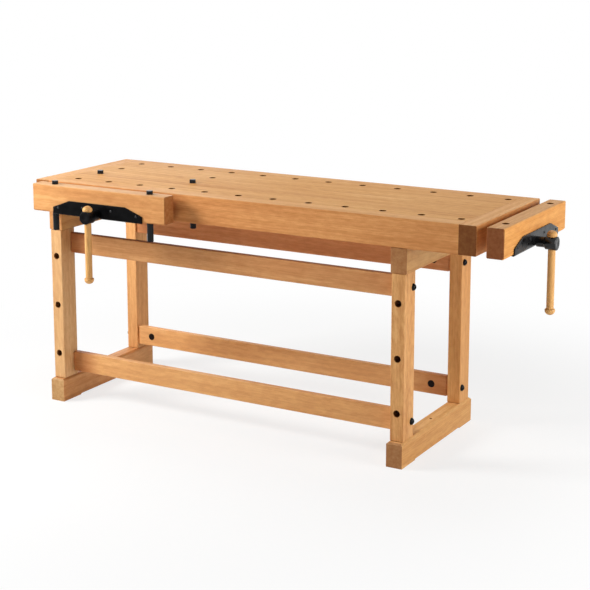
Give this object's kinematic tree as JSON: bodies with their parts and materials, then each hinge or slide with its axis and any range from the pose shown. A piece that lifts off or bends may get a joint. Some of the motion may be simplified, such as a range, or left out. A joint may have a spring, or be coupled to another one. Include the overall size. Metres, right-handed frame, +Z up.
{
  "type": "woodworking bench",
  "caption": "Beech woodworking bench on bolted trestles, with a front vise, an end vise, rows of round dog holes and steel bench dogs.",
  "frame": {"origin": "on the floor, under the middle of the whole object with both jaws as drawn", "axes": "+X along the bench towards the end vise, +Y from the front to the back, +Z up"},
  "size_m": [2.0632, 0.766, 0.914],
  "materials": {
    "beech": "oiled beech, satin",
    "handle_wood": "turned and lacquered, pale",
    "black_steel": "satin black",
    "bright_steel": "bare, ground"
  },
  "bodies": {
    "bench": {"top_front_apron": "beech", "top_rear_apron": "beech", "top_left_end_cap": "beech", "top_right_end_cap": "beech", "top_front_dog_board": "beech", "top_rear_dog_board": "beech", "top_board_1": "beech", "top_board_2": "beech", "left_foot": "beech", "left_top_rail": "beech", "left_front_leg": "beech", "left_rear_leg": "beech", "right_foot": "beech", "right_top_rail": "beech", "right_front_leg": "beech", "right_rear_leg": "beech", "front_upper_stretcher": "beech", "front_lower_stretcher": "beech", "rear_upper_stretcher": "beech", "rear_lower_stretcher": "beech", "bolt_left_front_upper": "black_steel", "bolt_left_front_lower": "black_steel", "bolt_left_rear_upper": "black_steel", "bolt_left_rear_lower": "black_steel", "bolt_right_front_upper": "black_steel", "bolt_right_front_lower": "black_steel", "bolt_right_rear_upper": "black_steel", "bolt_right_rear_lower": "black_steel", "barrel_nut_left_front_upper": "black_steel", "barrel_nut_left_front_lower": "black_steel", "barrel_nut_left_rear_upper": "black_steel", "barrel_nut_left_rear_lower": "black_steel", "barrel_nut_right_front_upper": "black_steel", "barrel_nut_right_front_lower": "black_steel", "barrel_nut_right_rear_upper": "black_steel", "barrel_nut_right_rear_lower": "black_steel", "front_vise_bracket": "black_steel", "end_vise_bracket": "black_steel"},
    "front_jaw": {"front_vise_jaw": "beech", "front_vise_plate": "black_steel", "front_vise_guide_rod_left": "bright_steel", "front_vise_guide_rod_right": "bright_steel"},
    "front_screw": {"front_vise_screw": "bright_steel", "front_vise_head": "black_steel", "front_vise_clip": "bright_steel"},
    "front_handle": {"front_vise_handle": "handle_wood", "front_vise_knob": "handle_wood"},
    "end_jaw": {"end_vise_jaw": "beech", "end_vise_plate": "black_steel", "end_vise_guide_rod_left": "bright_steel", "end_vise_guide_rod_right": "bright_steel"},
    "end_screw": {"end_vise_screw": "bright_steel", "end_vise_head": "black_steel", "end_vise_clip": "bright_steel"},
    "end_handle": {"end_vise_handle": "handle_wood", "end_vise_knob": "handle_wood"},
    "bench_dog_left": {"bench_dog_left": "black_steel"},
    "bench_dog_right": {"bench_dog_right": "black_steel"},
    "jaw_dog_left": {"jaw_dog_left": "black_steel"},
    "jaw_dog_right": {"jaw_dog_right": "black_steel"}
  },
  "joints": [
    {"name": "front_jaw_slide", "type": "slide", "parent": "bench", "child": "front_jaw", "axis": [0, -1, 0], "range_m": [-0.024, 0.12]},
    {"name": "front_screw_turn", "type": "hinge", "parent": "front_jaw", "child": "front_screw", "pos_m": [-0.66555, -0.30955, 0.8045], "axis": [0, -1, 0], "range_deg": [-1440, 7200]},
    {"name": "front_handle_slide", "type": "slide", "parent": "front_screw", "child": "front_handle", "axis": [0, 0, 1], "range_m": [0, 0.212]},
    {"name": "end_jaw_slide", "type": "slide", "parent": "bench", "child": "end_jaw", "axis": [1, 0, 0], "range_m": [-0.036, 0.108]},
    {"name": "end_screw_turn", "type": "hinge", "parent": "end_jaw", "child": "end_screw", "pos_m": [0.95805, 0.07805, 0.8045], "axis": [1, 0, 0], "range_deg": [-2160, 6480]},
    {"name": "end_handle_slide", "type": "slide", "parent": "end_screw", "child": "end_handle", "axis": [0, 0, 1], "range_m": [0, 0.212]},
    {"name": "bench_dog_left_slide", "type": "slide", "parent": "bench", "child": "bench_dog_left", "axis": [0, 0, 1], "range_m": [-0.014, 0.12]},
    {"name": "bench_dog_right_slide", "type": "slide", "parent": "bench", "child": "bench_dog_right", "axis": [0, 0, 1], "range_m": [-0.014, 0.12]},
    {"name": "jaw_dog_left_slide", "type": "slide", "parent": "front_jaw", "child": "jaw_dog_left", "axis": [0, 0, 1], "range_m": [-0.014, 0.12]},
    {"name": "jaw_dog_right_slide", "type": "slide", "parent": "front_jaw", "child": "jaw_dog_right", "axis": [0, 0, 1], "range_m": [-0.014, 0.12]}
  ],
  "couplings": [
    {"joint": "front_jaw_slide", "follows": "front_screw_turn", "m_per_rad": 0.00095493},
    {"joint": "end_jaw_slide", "follows": "end_screw_turn", "m_per_rad": 0.00095493}
  ]
}
